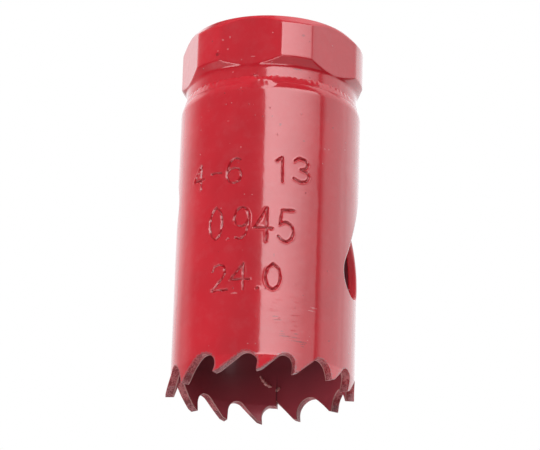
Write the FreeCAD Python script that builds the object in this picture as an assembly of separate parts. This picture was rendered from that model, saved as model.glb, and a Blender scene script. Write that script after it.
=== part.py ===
import FreeCAD, Part
import math
import os

os.makedirs("parts", exist_ok=True)

# A hole saw, millimetres and degrees. The saw stands on its tooth tips: z = 0 is
# the plane of the tips, +Z runs along the axis to the threaded cap, and -Y is
# the marked side. Angles start at the marked side and grow towards +X.

# Saw band: a toothed strip rolled into a tube
band_diameter = 22.8
band_wall = 1.1
band_height = 38.0
shoulder_drop = 1.6
shoulder_radius = 2.8

# Teeth: one pitch angle per tooth, from each tip to the next, and its side set.
# The ratios deepen and widen a gullet by a share of its gap's extra length.
tooth_pitches = [23.6, 27.5, 33.8, 31.7, 33.5, 26.5, 23.3,
                 24.9, 25.8, 22.0, 28.0, 34.0, 25.4]
tooth_sets = [1, 1, 0, 1, -1, 1, 1, 0, 1, -1, 0, -1, 0]
first_tip_angle = -180.6
gullet_depth = 2.5
gullet_radius = 1.5
gullet_depth_ratio = 0.18
gullet_radius_ratio = 0.35
rake_angle = 5.0
tip_flat_width = 0.08
land_length = 0.6
land_angle = 18.0
set_out_width = 0.6
set_in_width = 0.3
set_height = 1.7
hard_edge_height = 0.95

# Seam where the strip's two ends are butt welded, in the last gap
seam_before_tip = 1.95
seam_back_depth = 2.6
seam_step_height = 0.55
seam_width = 1.2
seam_height = 0.25
seam_stop_gap = 0.5

# Slanted slots for levering out a stuck plug, either side of the marking
slot_width = 5.9
slot_length = 16.2
slot_slant = 28.0
slot_centre_height = 19.6
slot_side_angle = 95.5
slot_middle_angle = -10.5

# Backing cap: turned and flatted, pressed in and welded on the band
cap_overhang = 0.2
cap_rim_height = 5.85
flat_depth = 0.7
flat_turn = -15.0
top_chamfer_width = 1.05
top_chamfer_height = 1.2
under_chamfer_height = 1.0
neck_inset = 0.6
neck_height = 2.0
neck_fillet = 0.8
spigot_length = 2.5
spigot_clearance = 0.03
spigot_chamfer = 0.4
bore_diameter = 11.4
bore_chamfer = 0.7

# Weld round the joint of cap and band
weld_depth = 0.3
weld_up_neck = 0.6
weld_down_band = 0.35
weld_hollow = 0.05

flat_count = 6
cut_margin = 2.0
cut_depth = 7.1
slot_side_steps = 4
slot_end_steps = 6
edge_tolerance = 1e-3
band_radius = band_diameter / 2
band_inner_radius = band_radius - band_wall
cap_radius = band_radius + cap_overhang
neck_radius = band_radius - neck_inset
weld_root_radius = neck_radius - weld_depth
neck_top = band_height + neck_height
cap_top = neck_top + under_chamfer_height + cap_rim_height
origin = FreeCAD.Vector(0, 0, 0)
up = FreeCAD.Vector(0, 0, 1)


def radial(angle):
    """Unit vector that points outwards at an angle round the axis."""
    turn = math.radians(angle)
    return FreeCAD.Vector(math.sin(turn), -math.cos(turn), 0)


def tangent(angle):
    """Unit vector along the wall at an angle, towards larger angles."""
    turn = math.radians(angle)
    return FreeCAD.Vector(math.cos(turn), math.sin(turn), 0)


def section_point(radius, height):
    """Point of a half section, in the XZ plane."""
    return FreeCAD.Vector(radius, 0, height)


def section_edges(corners):
    """Straight edges through a list of (radius, height) corners."""
    points = [section_point(*corner) for corner in corners]
    return [Part.makeLine(start, end) for start, end in zip(points[:-1], points[1:])]


def revolved(edges, span=360):
    """Solid of revolution from the closed edges of a half section."""
    return Part.Face(Part.Wire(edges)).revolve(origin, up, span)


def wrapped_point(centre_angle, distance, along, height):
    """Point of a flat layout of the strip, carried out along its radius.

    The length along the strip becomes an angle at the outer wall. The point is
    where the ray at that angle meets the plane at the distance from the axis.
    """
    turn = along / band_radius
    sideways = tangent(centre_angle) * (distance * math.tan(turn))
    return radial(centre_angle) * distance + sideways + up * height


def radial_cutter(centre_angle, outline):
    """Cutter whose sides all run radially through the wall.

    The outline gives the closed wire of the layout at a distance from the axis.
    """
    inner = outline(centre_angle, band_radius - cut_depth)
    outer = outline(centre_angle, band_radius + cut_margin)
    return Part.makeLoft([inner, outer], True, True)


def tooth_angles():
    """Angles of all the tips, ended by the first one a turn later."""
    angles = [first_tip_angle]
    for pitch in tooth_pitches:
        angles.append(angles[-1] + pitch * 360 / sum(tooth_pitches))
    return angles


def arc_point(centre, radius, turn):
    """Point of a circle in the flat layout, as (along, height)."""
    return centre[0] + radius * math.cos(turn), centre[1] + radius * math.sin(turn)


class Gap:
    """Layout of the gap from one tooth tip to the next, on the flat strip.

    The back leaves the tip as a short land, then runs straight until it touches
    the round gullet. The rake face leaves the gullet and ends at the next tip.
    """

    def __init__(self, low_angle, high_angle, has_seam):
        self.low_angle = low_angle
        self.high_angle = high_angle
        self.has_seam = has_seam
        self.length = math.radians(high_angle - low_angle) * band_radius
        extra = self.length - 2 * math.pi * band_radius / len(tooth_pitches)
        self.depth = gullet_depth + gullet_depth_ratio * extra
        if has_seam:
            self.depth = seam_back_depth - seam_step_height
        rake = math.radians(rake_angle)
        radius = gullet_radius + gullet_radius_ratio * extra
        centre_z = self.depth - radius
        centre_u = self.length + centre_z * math.tan(rake) - radius / math.cos(rake)
        self.centre = (centre_u, centre_z)
        self.radius = radius
        self.rake = rake

    def parting_angle(self):
        """Angle where the two neighbouring teeth are parted."""
        along = self.length - seam_before_tip if self.has_seam else self.centre[0]
        return self.low_angle + math.degrees(along / band_radius)

    def edges(self, place):
        """Edges of the gap's closed outline, through a function that places them."""
        land = math.radians(land_angle)
        tip = (tip_flat_width, 0)
        land_end = (tip_flat_width + land_length * math.cos(land), land_length * math.sin(land))
        if self.has_seam:
            seam = self.length - seam_before_tip
            arc_start_turn = math.acos((seam - self.centre[0]) / self.radius)
            back = [tip, land_end, (seam, seam_back_depth),
                    arc_point(self.centre, self.radius, arc_start_turn)]
        else:
            gap_u = self.centre[0] - land_end[0]
            gap_z = self.centre[1] - land_end[1]
            rise = math.atan2(gap_z, gap_u) + math.asin(self.radius / math.hypot(gap_u, gap_z))
            arc_start_turn = rise + math.pi / 2
            back = [tip, land_end, arc_point(self.centre, self.radius, arc_start_turn)]
        arc_end_turn = -self.rake
        arc = Part.Arc(*[place(*arc_point(self.centre, self.radius, turn)) for turn in
                         (arc_start_turn, (arc_start_turn + arc_end_turn) / 2, arc_end_turn)])
        front = [arc_point(self.centre, self.radius, arc_end_turn), (self.length, 0),
                 (self.length, -cut_margin), (tip_flat_width, -cut_margin), tip]
        lines = []
        for corners in (back, front):
            points = [place(*corner) for corner in corners]
            lines.append([Part.makeLine(a, b) for a, b in zip(points[:-1], points[1:])])
        return lines[0] + [arc.toShape()] + lines[1]

    def cutter(self):
        """Cutter that clears this gap."""
        half = self.length / 2

        def outline(centre_angle, distance):
            return Part.Wire(self.edges(
                lambda along, height: wrapped_point(centre_angle, distance, along - half, height)))

        return radial_cutter((self.low_angle + self.high_angle) / 2, outline)


def tooth_blank(low_angle, high_angle, side):
    """Stretch of strip that one tooth is cut from, leaning to its set side."""
    lean = side * (set_out_width if side > 0 else set_in_width)
    edges = section_edges([
        (band_inner_radius + lean, 0),
        (band_radius + lean, 0),
        (band_radius, set_height),
        (band_inner_radius, set_height),
        (band_inner_radius + lean, 0),
    ])
    blank = revolved(edges, high_angle - low_angle)
    blank.rotate(origin, up, low_angle - 90)
    return blank


def slot_cutter(centre_angle):
    """Cutter for one slanted, round-ended slot, laid out on the flat strip."""
    radius = slot_width / 2
    half = slot_length / 2 - radius
    slant = math.radians(slot_slant)

    def outline(centre, distance):
        def place(across, along):
            u = along * math.sin(slant) + across * math.cos(slant)
            z = along * math.cos(slant) - across * math.sin(slant)
            return wrapped_point(centre, distance, u, slot_centre_height + z)

        edges = []
        for side in (1, -1):
            steps = [2 * step / slot_side_steps - 1 for step in range(slot_side_steps + 1)]
            straight = [place(side * radius, side * half * step) for step in steps]
            turns = [math.pi * step / slot_end_steps for step in range(slot_end_steps + 1)]
            end = [place(side * radius * math.cos(turn), side * (half + radius * math.sin(turn)))
                   for turn in turns]
            for points in (straight, end):
                curve = Part.BSplineCurve()
                curve.interpolate(points)
                edges.append(curve.toShape())
        return Part.Wire(edges)

    return radial_cutter(centre_angle, outline)


def shoulder_point(height):
    """Point on the rounded top shoulder of the band, at a height."""
    rise = height - (band_height - shoulder_drop)
    radius = band_radius - shoulder_radius + math.sqrt(shoulder_radius ** 2 - rise ** 2)
    return radius, height


weld_foot = shoulder_point(band_height - weld_down_band)
weld_root = (weld_root_radius, band_height)
weld_head = (neck_radius, band_height + weld_up_neck)


def make_band_tube():
    """Rolled tube above the teeth, with its shoulder, weld bevel and seam."""
    shoulder_start = band_height - shoulder_drop
    shoulder_middle = shoulder_point((shoulder_start + weld_foot[1]) / 2)
    shoulder = Part.Arc(section_point(band_radius, shoulder_start),
                        section_point(*shoulder_middle), section_point(*weld_foot))
    edges = section_edges([
        weld_foot,
        weld_root,
        (band_inner_radius, band_height),
        (band_inner_radius, set_height),
        (band_radius, set_height),
        (band_radius, shoulder_start),
    ])
    tube = revolved(edges + [shoulder.toShape()])
    bead_radius = ((seam_width / 2) ** 2 + seam_height ** 2) / (2 * seam_height)
    bead_length = band_height - spigot_length - seam_stop_gap - set_height
    bead_centre = radial(seam_angle) * (band_inner_radius - seam_height + bead_radius)
    bead = Part.makeCylinder(bead_radius, bead_length, bead_centre + up * set_height, up)
    bead = bead.common(Part.makeCylinder(band_radius - band_wall / 2, bead_length,
                                         up * set_height, up))
    return tube.fuse(bead)


def make_cap():
    """Backing cap: threaded bore, spigot, neck and a rim with wrench flats."""
    bore_radius = bore_diameter / 2
    spigot_radius = band_inner_radius - spigot_clearance
    spigot_foot = band_height - spigot_length
    rim_foot = neck_top + under_chamfer_height
    cap = revolved(section_edges([
        (bore_radius + bore_chamfer, spigot_foot),
        (spigot_radius - spigot_chamfer, spigot_foot),
        (spigot_radius, spigot_foot + spigot_chamfer),
        (spigot_radius, band_height),
        weld_root,
        weld_head,
        (neck_radius, neck_top),
        (cap_radius, rim_foot),
        (cap_radius, cap_top - top_chamfer_height),
        (cap_radius - top_chamfer_width, cap_top),
        (bore_radius + bore_chamfer, cap_top),
        (bore_radius, cap_top - bore_chamfer),
        (bore_radius, spigot_foot + bore_chamfer),
        (bore_radius + bore_chamfer, spigot_foot),
    ]))
    waist = [edge for edge in cap.Edges
             if abs(edge.BoundBox.ZMax - neck_top) < edge_tolerance
             and edge.BoundBox.ZLength < edge_tolerance]
    cap = cap.makeFillet(neck_fillet, waist)
    for index in range(flat_count):
        angle = flat_turn + index * 360 / flat_count
        flat = Part.makeBox(cap_radius, 2 * cap_radius, cap_top - neck_top)
        flat.translate(FreeCAD.Vector(cap_radius - flat_depth, -cap_radius, neck_top))
        flat.rotate(origin, up, angle - 90)
        cap = cap.cut(flat)
    return cap


def make_weld():
    """Weld metal that fills the groove between the cap's neck and the band."""
    middle_radius = (weld_head[0] + weld_foot[0]) / 2 - weld_hollow
    middle_height = (weld_head[1] + weld_foot[1]) / 2 - weld_hollow
    face = Part.Arc(section_point(*weld_head), section_point(middle_radius, middle_height),
                    section_point(*weld_foot))
    return revolved(section_edges([weld_foot, weld_root, weld_head]) + [face.toShape()])


tips = tooth_angles()
last = len(tooth_pitches) - 1
gaps = [Gap(tips[index], tips[index + 1], index == last) for index in range(last + 1)]
seam_angle = gaps[last].parting_angle()
cutters = [gap.cutter() for gap in gaps]

tube = make_band_tube()
tube = tube.cut(Part.makeCompound(cutters))
for side in (1, -1):
    tube = tube.cut(slot_cutter(slot_middle_angle + side * slot_side_angle))

hard_edge = Part.makeCylinder(band_radius + cut_margin, hard_edge_height)
roots = []
hard_tips = []
for index, gap in enumerate(gaps):
    before = gaps[index - 1]
    turn_back = 360 if index == 0 else 0
    blank = tooth_blank(before.parting_angle() - turn_back, gap.parting_angle(),
                        tooth_sets[index])
    tooth = blank.cut([cutters[index - 1], cutters[index]])
    hard_tips.append(tooth.common(hard_edge))
    roots.append(tooth.cut(hard_edge))

saw_band = tube.fuse(roots).removeSplitter()
hard_steel_tips = Part.makeCompound([solid for tip in hard_tips for solid in tip.Solids])
backing_cap = make_cap()
weld_bead = make_weld()

sub_parts = {
    "saw_band": saw_band,
    "hard_steel_tips": hard_steel_tips,
    "backing_cap": backing_cap,
    "weld_bead": weld_bead,
}
for name, shape in sub_parts.items():
    shape.exportStep("parts/" + name + ".step")
    box = shape.BoundBox
    print(name, "solids", len(shape.Solids), "valid", shape.isValid(),
          "volume", round(shape.Volume, 1),
          "box", [round(value, 2) for value in
                  (box.XMin, box.YMin, box.ZMin, box.XMax, box.YMax, box.ZMax)])
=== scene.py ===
import math
import bpy
import numpy as np
from mathutils import Matrix, Vector


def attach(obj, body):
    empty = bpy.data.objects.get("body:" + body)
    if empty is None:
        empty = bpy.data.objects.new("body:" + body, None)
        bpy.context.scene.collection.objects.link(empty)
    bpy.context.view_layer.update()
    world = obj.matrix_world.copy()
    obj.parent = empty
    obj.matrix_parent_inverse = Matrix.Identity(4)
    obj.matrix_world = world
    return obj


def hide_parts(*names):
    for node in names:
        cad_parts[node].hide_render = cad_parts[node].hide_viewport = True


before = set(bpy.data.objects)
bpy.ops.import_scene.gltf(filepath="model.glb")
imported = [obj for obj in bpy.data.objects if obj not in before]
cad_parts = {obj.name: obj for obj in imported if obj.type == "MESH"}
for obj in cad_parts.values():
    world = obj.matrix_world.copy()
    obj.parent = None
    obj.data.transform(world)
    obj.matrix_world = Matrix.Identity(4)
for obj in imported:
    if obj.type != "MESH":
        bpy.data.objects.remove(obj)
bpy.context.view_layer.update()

print("frame loaded")

# Lengths are millimetres and angles degrees, unless a note says otherwise; the mesh maker turns
# lengths to metres. A place on the rolled strip is (along, height): along is the arc length at
# the outer wall from the marked side, growing towards +X.


def linearColour(hexCode):
    # sRGB hex to linear, by the sRGB curve
    values = np.array([int(hexCode[i:i + 2], 16) for i in (1, 3, 5)]) / 255
    linear = np.where(values <= 0.04045, values / 12.92, ((values + 0.055) / 1.055) ** 2.4)
    return tuple(float(v) for v in linear) + (1.0,)


def addNode(tree, kind, settings=None, links=None):
    # one node: its settings are properties or inputs, by name or number, and a link comes from
    # a socket or from a node's first output
    node = tree.nodes.new("ShaderNode" + kind)
    for key, value in (settings or {}).items():
        if isinstance(key, str) and hasattr(node, key):
            setattr(node, key, value)
        else:
            node.inputs[key].default_value = value
    for key, source in (links or {}).items():
        socket = source if isinstance(source, bpy.types.NodeSocket) else source.outputs[0]
        tree.links.new(socket, node.inputs[key])
    return node


def smoothRamp(value, low, high):
    # cubic step from 0 at low to 1 at high
    t = np.clip((value - low) / (high - low), 0, 1)
    return t * t * (3 - 2 * t)


def wander(turn, seed, orders, size):
    # sum of sine waves round a turn (radians), each with its own phase; it closes on itself
    rng = np.random.default_rng(seed)
    total = np.zeros_like(turn)
    for order in orders:
        total = total + np.sin(order * turn + rng.uniform(0, 2 * np.pi)) * rng.uniform(0.4, 1)
    return size * total / math.sqrt(len(orders))


def aroundAxis(distance, turn, height):
    # points at a distance from the axis, turned from the marked side towards +X, at a height
    across, towards = distance * np.sin(turn), -distance * np.cos(turn)
    return np.stack(np.broadcast_arrays(across, towards, height), axis=-1)


def divided(breaks, step):
    # the breaks, with even steps no longer than step between them
    parts = [np.linspace(a, b, max(1, math.ceil((b - a) / step)) + 1)[:-1]
             for a, b in zip(breaks[:-1], breaks[1:])]
    return np.concatenate(parts + [np.array([breaks[-1]])])


def resampled(line, count):
    # count points evenly spaced by length along a polyline
    run = np.concatenate([[0], np.cumsum(np.hypot(*np.diff(line, axis=0).T))])
    at = np.linspace(0, run[-1], count)
    return np.stack([np.interp(at, run, line[:, 0]), np.interp(at, run, line[:, 1])], axis=1)


def segmentDistance(points, starts, ends):
    # shortest distance from each point to a set of straight segments
    nearest = np.full(len(points), np.inf)
    for a, b in zip(starts, ends):
        run = b - a
        t = np.clip(((points - a) @ run) / max(run @ run, 1e-12), 0, 1)
        nearest = np.minimum(nearest, np.hypot(*(points - a - t[:, None] * run).T))
    return nearest


farFromRim = 9.0  # rim distance of a surface that no cut edge is near


def gridQuads(rows, columns, first=0, flip=False, keep=None):
    # quads of a rows x columns grid of points; keep masks the cells
    index = first + np.arange(rows * columns).reshape(rows, columns)
    quads = np.stack([index[:-1, :-1], index[:-1, 1:], index[1:, 1:], index[1:, :-1]], axis=-1)
    quads = quads[keep] if keep is not None else quads.reshape(-1, 4)
    return quads[:, ::-1] if flip else quads


def makeMesh(name, sheets, ends=(), sharpAngle=40):
    # joins grids of points into one mesh. A sheet is a dictionary: points (rows, columns, 3),
    # rim (distance to a cut edge), strip (along, height), depth (share of the wall), coat
    # (material index), flip and keep. Ends are flat faces, each a ring of points of the sheets
    points, rims, strips, quads, coats, count = [], [], [], [], [], 0
    for sheet in sheets:
        grid = sheet["points"].shape[:2]
        quads.append(gridQuads(*grid, count, sheet.get("flip", False), sheet.get("keep")))
        coats.append(np.full(len(quads[-1]), sheet.get("coat", 0)))
        points.append(sheet["points"].reshape(-1, 3))
        rims.append(np.broadcast_to(sheet.get("rim", farFromRim), grid).reshape(-1))
        strip = np.broadcast_to(sheet.get("strip", np.zeros(2)), (*grid, 2))
        depth = np.broadcast_to(sheet.get("depth", 0.0), grid)[..., None]
        strips.append(np.concatenate([strip, depth], axis=-1).reshape(-1, 3))
        count += len(points[-1])
    # points in one place, to a ten-thousandth of a millimetre, become one
    keys = np.round(np.concatenate(points + list(ends)) * 1e4).astype(np.int64)
    _, first, joined = np.unique(keys, axis=0, return_index=True, return_inverse=True)
    joined = joined.reshape(-1)
    points = np.concatenate(points)[first]
    rims, strips = np.concatenate(rims)[first], np.concatenate(strips)[first]
    quads, coats = joined[np.concatenate(quads)], np.concatenate(coats)
    # a quad with two corners in one place becomes a triangle
    same = quads == np.roll(quads, -1, axis=1)
    isWhole, isPinched = ~same.any(axis=1), same.sum(axis=1) == 1
    whole, pinched = quads[isWhole], quads[isPinched][~same[isPinched]]
    loops = [whole.reshape(-1), pinched]
    sizes = [4] * len(whole) + [3] * (len(pinched) // 3)
    for ring in ends:
        corners = joined[count:count + len(ring)]
        corners = corners[corners != np.roll(corners, 1)]
        count += len(ring)
        loops.append(corners)
        sizes.append(len(corners))
    coats = np.concatenate([coats[isWhole], coats[isPinched], np.zeros(len(ends), dtype=int)])
    starts = np.concatenate([[0], np.cumsum(sizes)[:-1]])
    mesh = bpy.data.meshes.new(name)
    mesh.vertices.add(len(points))
    mesh.vertices.foreach_set("co", (points * 0.001).astype(np.float32).ravel())
    mesh.loops.add(sum(sizes))
    mesh.loops.foreach_set("vertex_index", np.concatenate(loops).astype(np.int32))
    mesh.polygons.add(len(sizes))
    mesh.polygons.foreach_set("loop_start", starts.astype(np.int32))
    mesh.polygons.foreach_set("material_index", coats.astype(np.int32))
    mesh.update(calc_edges=True)
    mesh.validate()
    rim = mesh.attributes.new("rimDistance", "FLOAT", "POINT")
    rim.data.foreach_set("value", rims.astype(np.float32))
    strip = mesh.attributes.new("stripPlace", "FLOAT_VECTOR", "POINT")
    strip.data.foreach_set("vector", strips.astype(np.float32).ravel())
    mesh.shade_smooth()
    mesh.set_sharp_from_angle(angle=math.radians(sharpAngle))
    piece = bpy.data.objects.new(name, mesh)
    bpy.context.scene.collection.objects.link(piece)
    print(name, len(mesh.vertices), "points", len(mesh.polygons), "faces")
    return piece


# The saw band: a toothed strip rolled into a tube, with two slots and stamped figures

band = {
    "radius": 11.4, "wall": 1.1, "height": 38.0, "shoulderDrop": 1.6, "shoulderRadius": 2.8,
    "weldFoot": 0.35, "weldRoot": 10.5, "outerRound": 0.045, "innerRound": 0.07,
    "columnStep": 0.42, "rowStep": 0.6, "shoulderStep": 0.12,
}

# Each tooth's share of the turn up to the next one, and its set: 1 outwards, -1 inwards
teeth = {
    "pitches": [23.6, 27.5, 33.8, 31.7, 33.5, 26.5, 23.3, 24.9, 25.8, 22.0, 28.0, 34.0, 25.4],
    "sets": [1, 1, 0, 1, -1, 1, 1, 0, 1, -1, 0, -1, 0],
    "firstTip": -180.6, "rake": 5.0, "tipFlat": 0.08, "land": 0.6, "landAngle": 18.0,
    "setOut": 0.6, "setIn": 0.3, "setHeight": 1.7, "setSoft": 0.1, "setEnd": 2.25, "hardEdge": 0.95,
    "gulletDepth": 2.5, "gulletRadius": 1.5, "depthRatio": 0.18, "radiusRatio": 0.35,
    "top": 4.6, "upperRows": 17, "skirtRows": 8, "backArc": 40, "frontArc": 80,
}

# The butt seam, in the last gap: how far from the tip, the gullet's depth and step there, and
# the bead, which fades in between two heights and out below its top
seam = {
    "beforeTip": 1.95, "back": 2.6, "step": 0.55, "stepRows": 4, "arc": 60,
    "width": 1.2, "height": 0.05, "fadeIn": (1.5, 2.6), "top": 35.0, "fadeOut": 0.6,
}

slots = {
    "width": 5.9, "length": 16.2, "slant": 28.0, "height": 19.6, "middles": (-106.0, 85.0),
    "outerRound": 0.22, "innerRound": 0.12, "edgeDepth": 0.06,
    "windowAcross": 6.6, "windowLow": 10.6, "windowHigh": 28.6,
    "rings": [0, 0.03, 0.08, 0.16, 0.28, 0.45, 0.7, 1.0],
}

# Single-stroke figures in a box one wide and one high
figureStrokes = {
    "0": [[(0.5, 1), (0.14, 0.84), (0, 0.5), (0.14, 0.16), (0.5, 0), (0.86, 0.16), (1, 0.5),
           (0.86, 0.84), (0.5, 1)]],
    "1": [[(0, 0.83), (0.9, 1)], [(0.9, 1), (1, 0)]],
    "2": [[(0, 0.78), (0.12, 0.94), (0.42, 1), (0.74, 0.93), (0.84, 0.74), (0.72, 0.5), (0.02, 0.03)],
          [(0.02, 0.02), (1, 0)]],
    "3": [[(0.02, 0.85), (0.3, 1), (0.72, 0.97), (0.9, 0.8), (0.8, 0.6), (0.45, 0.53)],
          [(0.45, 0.53), (0.88, 0.44), (1, 0.25), (0.84, 0.06), (0.4, 0), (0, 0.12)]],
    "4": [[(0.7, 1), (0, 0.4)], [(0, 0.4), (1, 0.38)], [(0.7, 1), (0.72, 0)]],
    "5": [[(0.95, 1), (0.2, 0.96)], [(0.2, 0.96), (0.08, 0.52)],
          [(0.08, 0.52), (0.45, 0.62), (0.82, 0.52), (0.98, 0.32), (0.86, 0.1), (0.55, 0),
           (0.2, 0.05), (0, 0.16)]],
    "6": [[(0.86, 0.93), (0.55, 1), (0.2, 0.86), (0.02, 0.52), (0.02, 0.3), (0.16, 0.08), (0.5, 0),
           (0.85, 0.09), (1, 0.33), (0.85, 0.55), (0.5, 0.62), (0.18, 0.54), (0.02, 0.36)]],
    "9": [[(0.14, 0.07), (0.45, 0), (0.8, 0.14), (0.98, 0.48), (0.98, 0.7), (0.84, 0.92), (0.5, 1),
           (0.15, 0.91), (0, 0.67), (0.15, 0.45), (0.5, 0.38), (0.82, 0.46), (0.98, 0.64)]],
    "-": [[(0, 0.5), (1, 0.48)]],
    ".": [[(0.3, 0.02), (0.5, 0.03)]],
}

# Each figure: its sign, left edge, foot, width and height on the strip. They are plain numbers:
# a tooth pitch and a tooth count, and the diameter in inches and in millimetres
stamps = {
    "figures": [
        ("4", -10.7, 24.2, 1.8, 3.2), ("-", -7.63, 24.2, 1.42, 3.25), ("6", -5.4, 24.1, 2.0, 3.35),
        ("1", 0.9, 24.3, 0.75, 3.2), ("3", 3.1, 24.5, 2.0, 3.1),
        ("0", -7.65, 16.95, 1.9, 4.3), (".", -5.2, 16.8, 0.7, 4.2), ("9", -4.2, 16.7, 1.95, 4.25),
        ("4", -1.6, 16.5, 2.15, 4.3), ("5", 1.35, 16.5, 1.95, 4.2),
        ("2", -6.95, 10.35, 2.15, 3.35), ("4", -4.45, 10.25, 2.38, 3.37), (".", -1.3, 10.3, 0.7, 3.3),
        ("0", -0.1, 10.2, 1.9, 3.35),
    ],
    "halfWidth": 0.22, "depth": 0.17, "lip": 0.024, "step": 0.06, "fade": 0.15,
    # fine grid where the figures are: from and to along the strip, from and to in height
    "windows": [(-11.5, 5.9, 23.5, 28.1), (-8.3, 4.0, 15.9, 22.2), (-7.7, 2.6, 9.6, 14.3)],
}

radius = band["radius"]
meanGap = 2 * math.pi * radius / len(teeth["pitches"])
gapLengths = np.radians(np.array(teeth["pitches"]) * 360 / sum(teeth["pitches"])) * radius
tipPlaces = np.radians(teeth["firstTip"]) * radius + np.concatenate([[0], np.cumsum(gapLengths)])
toothCount = len(gapLengths)


def gapSides(k):
    # the two sides of one gap, each from its tip up to the parting point, in strip places:
    # the back is land, slope and part of the gullet circle, the front is the raked line and
    # the rest. In the seam's gap the two ends of the strip meet with a step
    length = gapLengths[k]
    extra = length - meanGap
    hasSeam = k == toothCount - 1
    depth = seam["back"] - seam["step"] if hasSeam else teeth["gulletDepth"] + teeth["depthRatio"] * extra
    gullet = teeth["gulletRadius"] + teeth["radiusRatio"] * extra
    rake, land = math.radians(teeth["rake"]), math.radians(teeth["landAngle"])
    centreZ = depth - gullet
    centreU = length + centreZ * math.tan(rake) - gullet / math.cos(rake)
    landStart = (teeth["tipFlat"], 0)
    landEnd = (teeth["tipFlat"] + teeth["land"] * math.cos(land), teeth["land"] * math.sin(land))
    tip = np.array([(length, 0)])

    def circle(turns):
        return np.stack([centreU + gullet * np.cos(turns), centreZ + gullet * np.sin(turns)], axis=1)

    if hasSeam:
        meeting = length - seam["beforeTip"]
        turn = math.acos((meeting - centreU) / gullet)
        back = np.array([landStart, landEnd, (meeting, seam["back"])])
        front = [tip, circle(np.linspace(-rake, turn, seam["arc"])), back[-1:]]
    else:
        reach, drop = centreU - landEnd[0], centreZ - landEnd[1]
        turn = math.atan2(drop, reach) + math.asin(gullet / math.hypot(reach, drop)) + math.pi / 2
        arc = circle(np.linspace(turn, math.pi / 2, teeth["backArc"]))
        back = np.concatenate([[landStart, landEnd], arc])
        front = [tip, circle(np.linspace(-rake, math.pi / 2, teeth["frontArc"]))]
    return back + [tipPlaces[k], 0], np.concatenate(front) + [tipPlaces[k], 0]


# heights of the rows of points in the hard steel; one is at the land's end
landRise = teeth["land"] * math.sin(math.radians(teeth["landAngle"]))
lowLevels = np.array([0, 0.05, 0.11, landRise, 0.32, 0.5, 0.72, teeth["hardEdge"]])
hardRow = len(lowLevels) - 1


def sideRows(line, stepRows=0):
    # points of one side: at fixed heights up to the hard edge, then evenly by length to the
    # top, with the seam's step as rows of its own
    low = np.stack([np.interp(lowLevels, line[:, 1], line[:, 0]), lowLevels], axis=1)
    upper = np.concatenate([low[-1:], line[line[:, 1] > teeth["hardEdge"] + 1e-6]])
    if stepRows:
        curve = resampled(upper[:-1], teeth["upperRows"] - stepRows)
        upper = np.concatenate([curve, resampled(upper[-2:], stepRows + 1)[1:]])
    else:
        upper = resampled(upper, teeth["upperRows"])
    return np.concatenate([low, upper[1:]])


# each tooth's right side is the back of its own gap, and its left side the front of the one before
sides = [gapSides(k) for k in range(toothCount)]
turnLength = 2 * math.pi * radius
rightSides = [sideRows(back) for back, front in sides]
leftSides = [sideRows(front) for back, front in sides[:-1]]
leftSides = [sideRows(sides[-1][1], seam["stepRows"]) - [turnLength, 0]] + leftSides
sideCount = len(rightSides[0])

# One closed outline of all the teeth, with the mitred direction into the metal at each point
outline = np.concatenate([np.concatenate([left[::-1], right[:-1]])
                          for left, right in zip(leftSides, rightSides)])


def mitred(line, period):
    # direction into the metal at each point of a closed line, metal on its left, scaled so
    # that an offset keeps its distance from both neighbouring segments, up to a limit
    ahead = np.roll(line, -1, axis=0)
    ahead[-1, 0] += period
    run = ahead - line
    run /= np.maximum(np.hypot(*run.T), 1e-9)[:, None]
    normal = np.stack([-run[:, 1], run[:, 0]], axis=1)
    before = np.roll(normal, 1, axis=0)
    total = normal + before
    return total / np.maximum(1 + (normal * before).sum(axis=1), 0.45)[:, None]


inward = mitred(outline, turnLength)
perTooth = 2 * sideCount - 1
wrapOutline = np.concatenate([outline, outline[:1] + [turnLength, 0]])
wrapInward = np.concatenate([inward, inward[:1]])


def shoulderFall(height):
    # how far the rounded shoulder has drawn in at a height
    rise = np.clip(height - (band["height"] - band["shoulderDrop"]), 0, band["shoulderRadius"])
    return band["shoulderRadius"] - np.sqrt(band["shoulderRadius"] ** 2 - rise ** 2)


seamPlace = tipPlaces[-1] - seam["beforeTip"]


def seamBead(along, height):
    # weld bead inside the butt seam: a round-backed ridge, its width and height uneven by
    # sine waves along it
    side = (along - seamPlace + turnLength / 2) % turnLength - turnLength / 2
    half = seam["width"] / 2 * (1 + 0.12 * np.sin(height * 2.1) + 0.08 * np.sin(height * 5.3 + 1))
    ridge = seam["height"] * np.clip(1 - (side / half) ** 2, 0, None)
    ripple = 1 + 0.18 * np.sin(height * 9 + 2 * np.sin(height * 1.7))
    fadeOut = smoothRamp(height, seam["top"], seam["top"] - seam["fadeOut"])
    return ridge * ripple * smoothRamp(height, *seam["fadeIn"]) * fadeOut


def onWall(place, depth, lean=0.0):
    # strip place to space: the angle is along / radius, the distance from the axis is the
    # outer wall less the depth, plus the tooth's lean, which fades to none at the set height.
    # The shoulder draws in the outer face only, and the seam's bead is on the inner one
    along, height = place[..., 0], place[..., 1]
    bend = 1 - height / teeth["setHeight"]
    share = 0.5 * (bend + np.sqrt(bend ** 2 + teeth["setSoft"]))
    share = share * smoothRamp(height, teeth["setEnd"], teeth["setHeight"])
    inside = np.clip(depth / band["wall"], 0, 1)
    distance = radius - depth + lean * share - shoulderFall(height) * (1 - inside)
    distance = distance - np.where(inside > 0.9, seamBead(along, height), 0)
    return aroundAxis(distance, along / radius, height)


# the order of the band's and the tips' materials
outerCoat, innerCoat, edgeCoat = 0, 1, 2


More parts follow.
